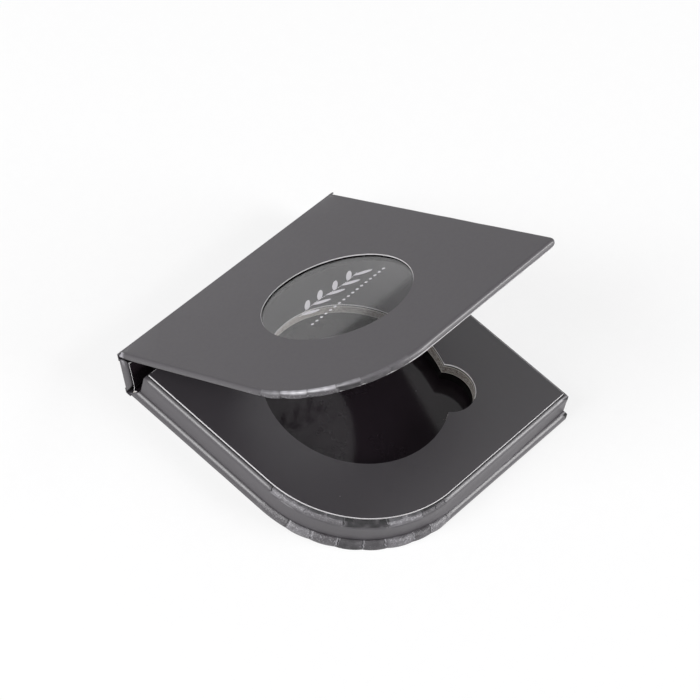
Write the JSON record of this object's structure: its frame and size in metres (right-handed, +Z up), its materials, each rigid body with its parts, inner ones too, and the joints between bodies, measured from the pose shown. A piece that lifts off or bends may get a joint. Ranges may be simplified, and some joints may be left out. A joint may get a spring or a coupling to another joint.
{
  "type": "makeup compact",
  "caption": "Book-style makeup compact of paper-wrapped board with a round pan well, a thumb notch, and a folding spine and cover with a clear window.",
  "frame": {"origin": "centre of the base's underside, on the surface the compact rests on", "axes": "+Z up, +Y towards the fold at the back, +X to the right seen from the front, so the rounded corner is at -X, -Y; the compact stands half open as pictured"},
  "size_m": [0.064, 0.0673, 0.0447],
  "materials": {
    "wrap_paper": "satin laminated paper, dark graphite",
    "liner_paper": "glossy black coated paper",
    "tray_card": "satin dark card with a pale cut edge",
    "greyboard": "raw brownish grey board",
    "black_board": "black dyed board",
    "film": "smoky clear film",
    "magnet_sheet": "matt flexible magnet sheet",
    "magnet": "plated magnet",
    "steel": "bare steel disc"
  },
  "bodies": {
    "base": {"base_board": "greyboard", "base_wrap": "wrap_paper", "pan_magnet": "magnet_sheet", "base_liner": "liner_paper", "tray_board_lower": "black_board", "tray_board_upper": "greyboard", "closure_magnet_left": "magnet", "closure_magnet_right": "magnet", "tray_wrap": "wrap_paper", "tray_card": "tray_card", "lower_fold_wrap": "wrap_paper", "lower_fold_liner": "liner_paper"},
    "spine": {"spine_board": "greyboard", "spine_wrap": "wrap_paper", "spine_liner": "liner_paper", "upper_fold_wrap": "wrap_paper", "upper_fold_liner": "liner_paper"},
    "cover": {"cover_board": "greyboard", "cover_wrap": "wrap_paper", "window_film": "film", "cover_liner": "liner_paper", "closure_disc_left": "steel", "closure_disc_right": "steel"}
  },
  "joints": [
    {"name": "spine_fold", "type": "hinge", "parent": "base", "child": "spine", "pos_m": [0, 0.03165, 0], "axis": [-1, 0, 0], "range_deg": [-24.93, 65.07], "deforming": ["lower_fold_wrap", "lower_fold_liner"]},
    {"name": "cover_fold", "type": "hinge", "parent": "spine", "child": "cover", "pos_m": [0, 0.03578, 0.00889], "axis": [-1, 0, 0], "range_deg": [-10.31, 79.69], "deforming": ["upper_fold_wrap", "upper_fold_liner"]}
  ]
}
